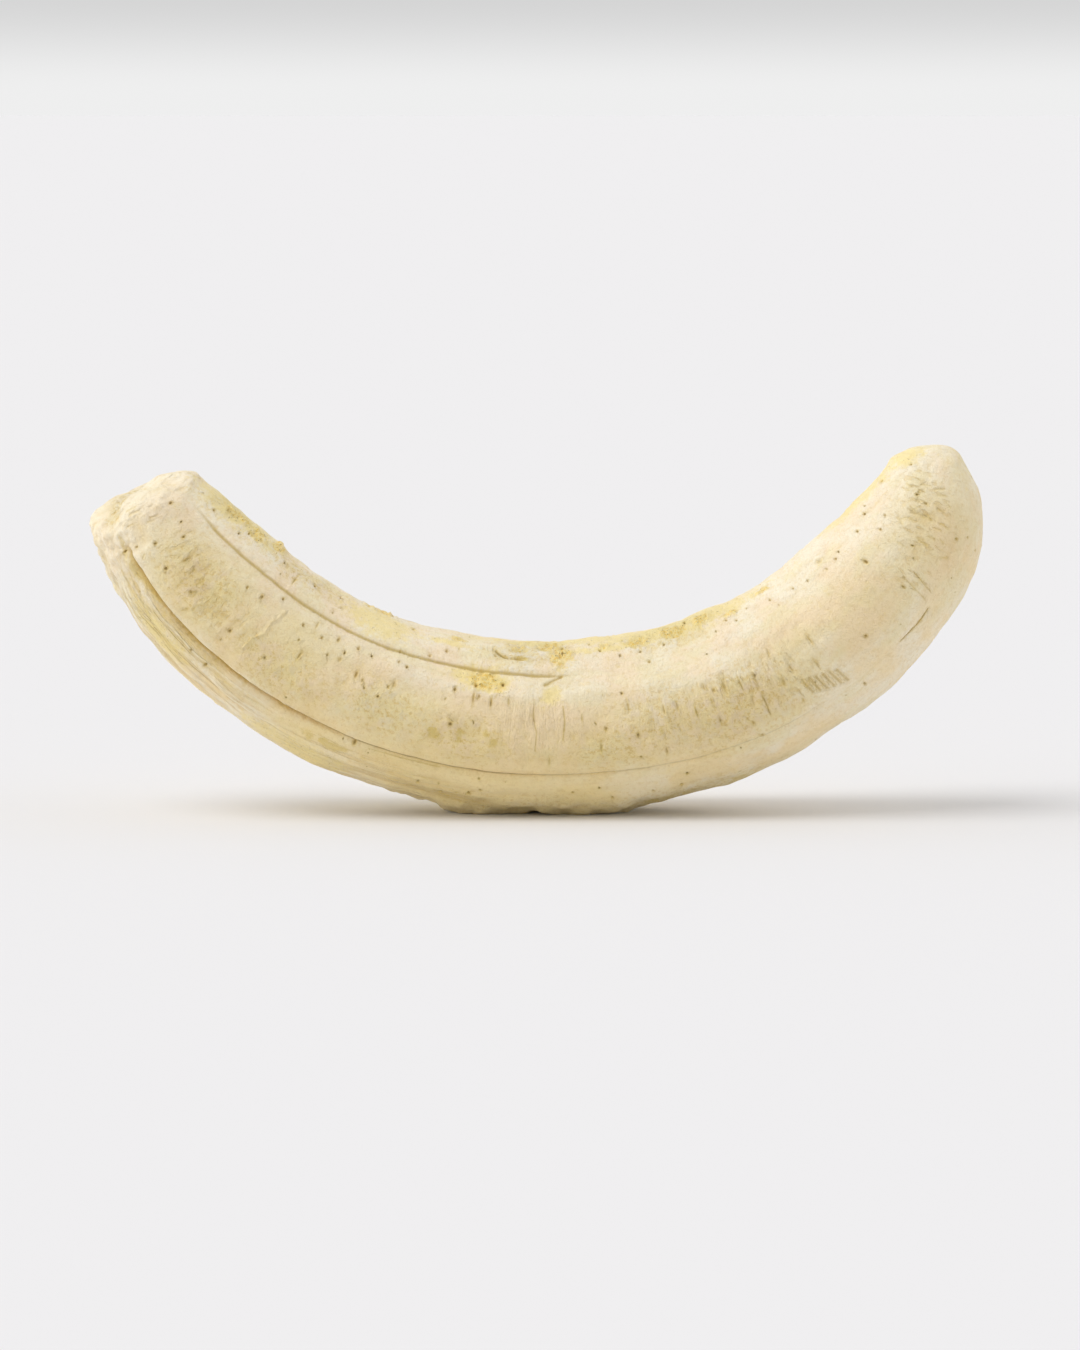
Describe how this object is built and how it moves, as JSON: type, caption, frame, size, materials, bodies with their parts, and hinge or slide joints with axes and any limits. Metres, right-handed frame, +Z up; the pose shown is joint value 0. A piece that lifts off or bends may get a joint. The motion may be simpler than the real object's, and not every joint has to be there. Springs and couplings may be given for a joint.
{
  "type": "freeze-dried banana",
  "caption": "Whole peeled freeze-dried banana: a pale, dry, curved fruit with a torn stem end and a blunt tip, lying on its belly with both ends up.",
  "frame": {"origin": "centre of the base of the bounding box, on the surface that the fruit rests on", "axes": "+X from the torn stem end to the blossom tip, +Y away from the side that the picture shows, +Z up, towards the hollow of the bend"},
  "size_m": [0.1604, 0.0314, 0.0664],
  "materials": {
    "dried_flesh": "dry, chalky, porous fruit flesh, matte, pale cream with gold crusts and small brown pores"
  },
  "bodies": {
    "root": {"banana": "dried_flesh"}
  },
  "joints": []
}
